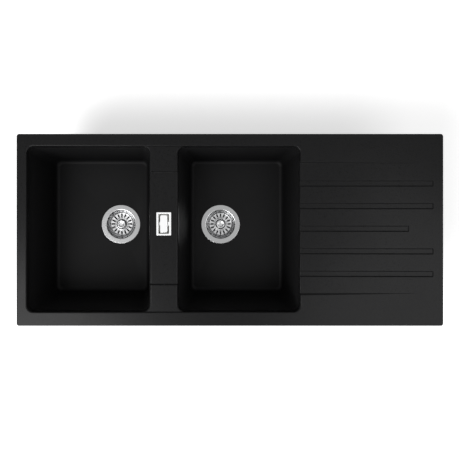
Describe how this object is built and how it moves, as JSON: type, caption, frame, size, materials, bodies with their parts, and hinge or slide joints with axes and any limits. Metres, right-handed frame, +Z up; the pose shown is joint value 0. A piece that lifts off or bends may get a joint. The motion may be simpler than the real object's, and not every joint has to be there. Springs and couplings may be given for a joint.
{
  "type": "double bowl kitchen sink",
  "caption": "Inset double bowl kitchen sink with a grooved drainer, basket strainer wastes, a divider overflow with its hose, and swing clips for a worktop cut-out.",
  "frame": {"origin": "centre of the outline, in the plane where the rim's underside rests on the worktop", "axes": "+X along the length towards the drainer, +Y towards the wall behind the sink, +Z up out of the bowls"},
  "size_m": [1.16, 0.522, 0.2935],
  "materials": {
    "composite": "matt black granite composite with a fine speckle",
    "brushed_steel": "circular brushed stainless steel",
    "polished_steel": "polished stainless steel",
    "chrome": "bright chrome",
    "rubber": "black rubber",
    "white_plastic": "moulded white polypropylene",
    "hose_plastic": "ribbed white polyethylene",
    "zinc": "zinc plated steel",
    "nylon": "grey nylon"
  },
  "bodies": {
    "sink": {"sink_body": "composite", "left_strainer_cup": "brushed_steel", "left_flange_seal": "rubber", "left_floor_gasket": "rubber", "left_waste_body": "white_plastic", "left_clamp_screw": "zinc", "right_strainer_cup": "brushed_steel", "right_flange_seal": "rubber", "right_floor_gasket": "rubber", "right_waste_body": "white_plastic", "right_clamp_screw": "zinc", "overflow_frame": "chrome", "overflow_cover": "chrome", "overflow_screw": "zinc", "overflow_gasket": "rubber", "overflow_housing": "white_plastic", "overflow_hose": "hose_plastic", "upper_hose_clip": "zinc", "lower_hose_clip": "zinc", "clip_screw_1": "zinc", "clip_insert_1": "nylon", "clip_screw_2": "zinc", "clip_insert_2": "nylon", "clip_screw_3": "zinc", "clip_insert_3": "nylon", "clip_screw_4": "zinc", "clip_insert_4": "nylon", "clip_screw_5": "zinc", "clip_insert_5": "nylon", "clip_screw_6": "zinc", "clip_insert_6": "nylon", "clip_screw_7": "zinc", "clip_insert_7": "nylon", "clip_screw_8": "zinc", "clip_insert_8": "nylon"},
    "left_basket": {"left_basket": "polished_steel", "left_basket_knob": "polished_steel", "left_basket_seal": "rubber"},
    "right_basket": {"right_basket": "polished_steel", "right_basket_knob": "polished_steel", "right_basket_seal": "rubber"},
    "clip_claw_1": {"clip_claw_1": "zinc"},
    "clip_claw_2": {"clip_claw_2": "zinc"},
    "clip_claw_3": {"clip_claw_3": "zinc"},
    "clip_claw_4": {"clip_claw_4": "zinc"},
    "clip_claw_5": {"clip_claw_5": "zinc"},
    "clip_claw_6": {"clip_claw_6": "zinc"},
    "clip_claw_7": {"clip_claw_7": "zinc"},
    "clip_claw_8": {"clip_claw_8": "zinc"}
  },
  "joints": [
    {"name": "left_basket_lift", "type": "slide", "parent": "sink", "child": "left_basket", "axis": [0, 0, 1], "range_m": [0, 0.26]},
    {"name": "right_basket_lift", "type": "slide", "parent": "sink", "child": "right_basket", "axis": [0, 0, 1], "range_m": [0, 0.26]},
    {"name": "clip_swing_1", "type": "hinge", "parent": "sink", "child": "clip_claw_1", "pos_m": [-0.43, 0.242, -0.045], "axis": [0, 0, 1], "range_deg": [0, 90]},
    {"name": "clip_swing_2", "type": "hinge", "parent": "sink", "child": "clip_claw_2", "pos_m": [-0.14333, 0.242, -0.045], "axis": [0, 0, 1], "range_deg": [0, 90]},
    {"name": "clip_swing_3", "type": "hinge", "parent": "sink", "child": "clip_claw_3", "pos_m": [0.14333, 0.242, -0.045], "axis": [0, 0, 1], "range_deg": [0, 90]},
    {"name": "clip_swing_4", "type": "hinge", "parent": "sink", "child": "clip_claw_4", "pos_m": [0.43, 0.242, -0.045], "axis": [0, 0, 1], "range_deg": [0, 90]},
    {"name": "clip_swing_5", "type": "hinge", "parent": "sink", "child": "clip_claw_5", "pos_m": [-0.43, -0.242, -0.045], "axis": [0, 0, 1], "range_deg": [0, 90]},
    {"name": "clip_swing_6", "type": "hinge", "parent": "sink", "child": "clip_claw_6", "pos_m": [-0.14333, -0.242, -0.045], "axis": [0, 0, 1], "range_deg": [0, 90]},
    {"name": "clip_swing_7", "type": "hinge", "parent": "sink", "child": "clip_claw_7", "pos_m": [0.14333, -0.242, -0.045], "axis": [0, 0, 1], "range_deg": [0, 90]},
    {"name": "clip_swing_8", "type": "hinge", "parent": "sink", "child": "clip_claw_8", "pos_m": [0.43, -0.242, -0.045], "axis": [0, 0, 1], "range_deg": [0, 90]}
  ]
}
